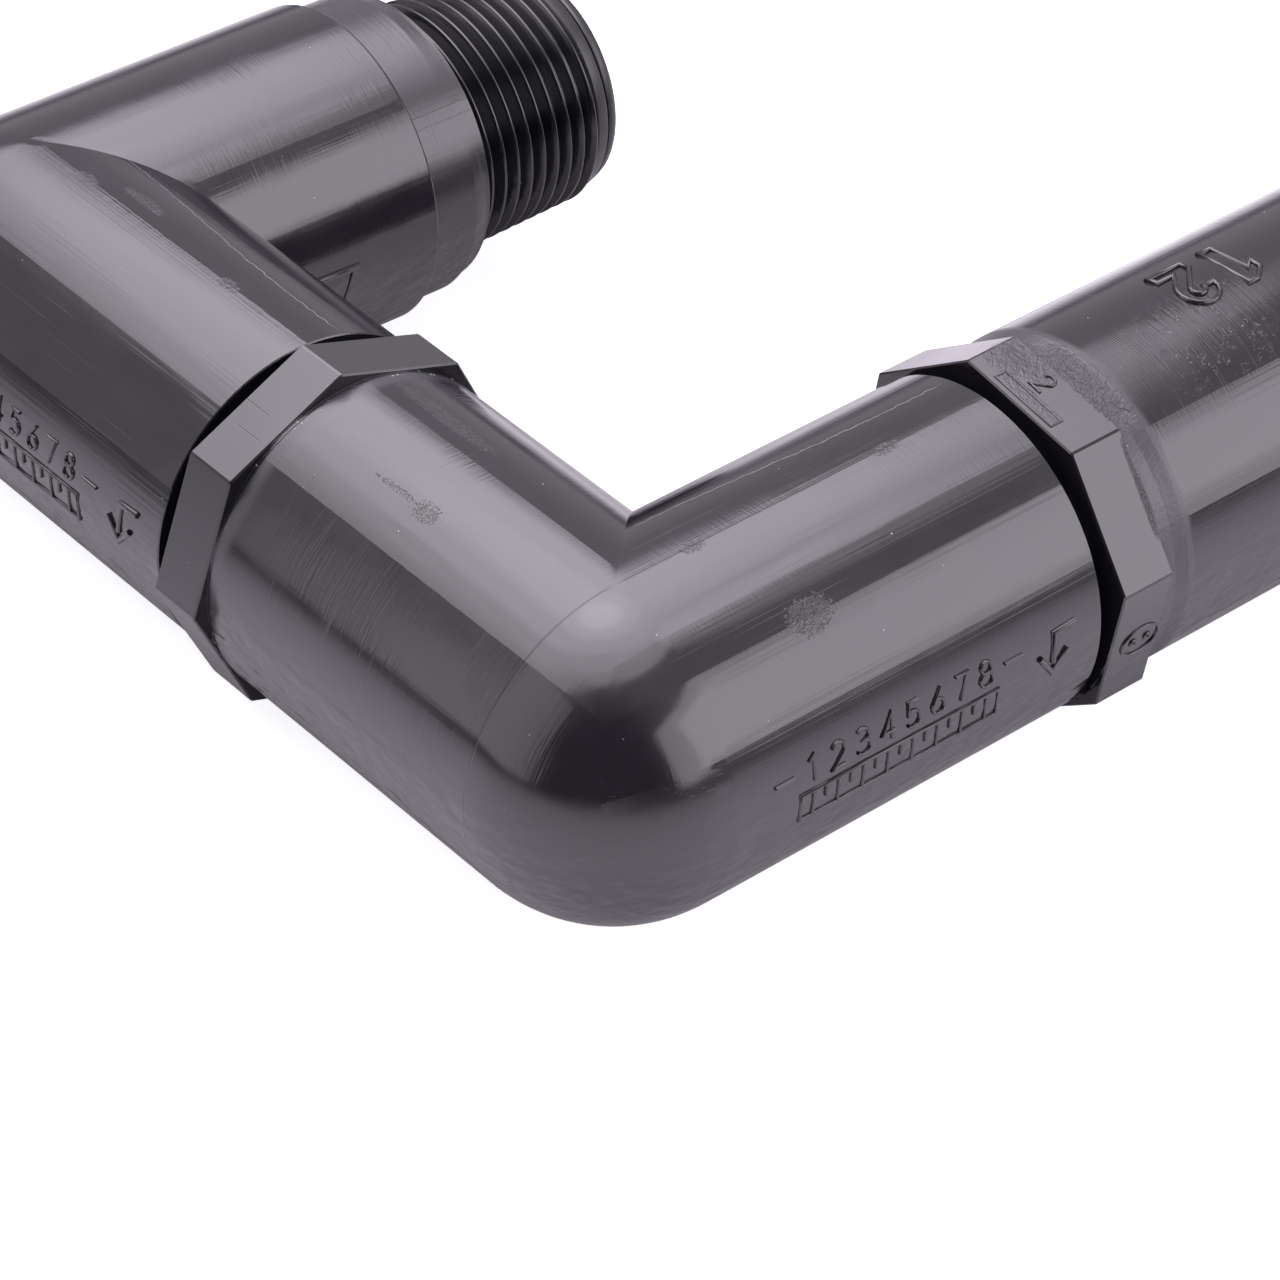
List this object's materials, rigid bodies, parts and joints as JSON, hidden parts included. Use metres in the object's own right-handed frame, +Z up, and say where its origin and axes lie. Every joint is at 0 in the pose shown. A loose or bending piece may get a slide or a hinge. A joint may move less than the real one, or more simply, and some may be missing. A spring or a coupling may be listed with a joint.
{
  "type": "triple swing joint",
  "caption": "Swing joint of moulded PVC elbows and a straight lay arm that turn on screwed, O-ring sealed swivels, with a male pipe thread at each end.",
  "frame": {"origin": "on the inlet pipe thread's axis, 10.16 mm in from its end face, where a mating fitting's face stands hand tight", "axes": "+Z up, +X from the inlet thread into the inlet elbow, the lay arm runs along -Y to the middle elbow"},
  "size_m": [0.156, 0.3496, 0.0468],
  "materials": {
    "inlet_pvc": "semi-gloss moulded PVC",
    "arm_pvc": "semi-gloss moulded PVC",
    "middle_pvc": "semi-gloss moulded PVC",
    "outlet_pvc": "semi-gloss moulded PVC",
    "seal_rubber": "lubricated rubber"
  },
  "bodies": {
    "inlet_elbow": {"inlet_elbow": "inlet_pvc"},
    "inlet_seals": {"inlet_dirt_seal": "seal_rubber", "inlet_pressure_seal": "seal_rubber"},
    "lay_arm": {"lay_arm": "arm_pvc"},
    "middle_seals": {"middle_dirt_seal": "seal_rubber", "middle_pressure_seal": "seal_rubber"},
    "middle_elbow": {"middle_elbow": "middle_pvc"},
    "outlet_seals": {"outlet_dirt_seal": "seal_rubber", "outlet_pressure_seal": "seal_rubber"},
    "outlet_elbow": {"outlet_elbow": "outlet_pvc"}
  },
  "joints": [
    {"name": "inlet_advance", "type": "slide", "parent": "inlet_elbow", "child": "inlet_seals", "axis": [0, 1, 0], "range_m": [-0.00182, 0.00182]},
    {"name": "inlet_swivel", "type": "hinge", "parent": "inlet_seals", "child": "lay_arm", "pos_m": [0.07134, -0.0549, 0], "axis": [0, 1, 0], "range_deg": [-180, 180]},
    {"name": "middle_swivel", "type": "hinge", "parent": "lay_arm", "child": "middle_seals", "pos_m": [0.07134, -0.2499, 0], "axis": [0, 1, 0], "range_deg": [-180, 180]},
    {"name": "middle_advance", "type": "slide", "parent": "middle_seals", "child": "middle_elbow", "axis": [0, 1, 0], "range_m": [-0.00182, 0.00182]},
    {"name": "outlet_swivel", "type": "hinge", "parent": "middle_elbow", "child": "outlet_seals", "pos_m": [0.01448, -0.3048, 0], "axis": [1, 0, 0], "range_deg": [-180, 180]},
    {"name": "outlet_advance", "type": "slide", "parent": "outlet_seals", "child": "outlet_elbow", "axis": [1, 0, 0], "range_m": [-0.00182, 0.00182]}
  ],
  "couplings": [
    {"joint": "inlet_advance", "follows": "inlet_swivel", "m_per_rad": 0.0005775},
    {"joint": "middle_advance", "follows": "middle_swivel", "m_per_rad": 0.0005775},
    {"joint": "outlet_advance", "follows": "outlet_swivel", "m_per_rad": 0.0005775}
  ]
}
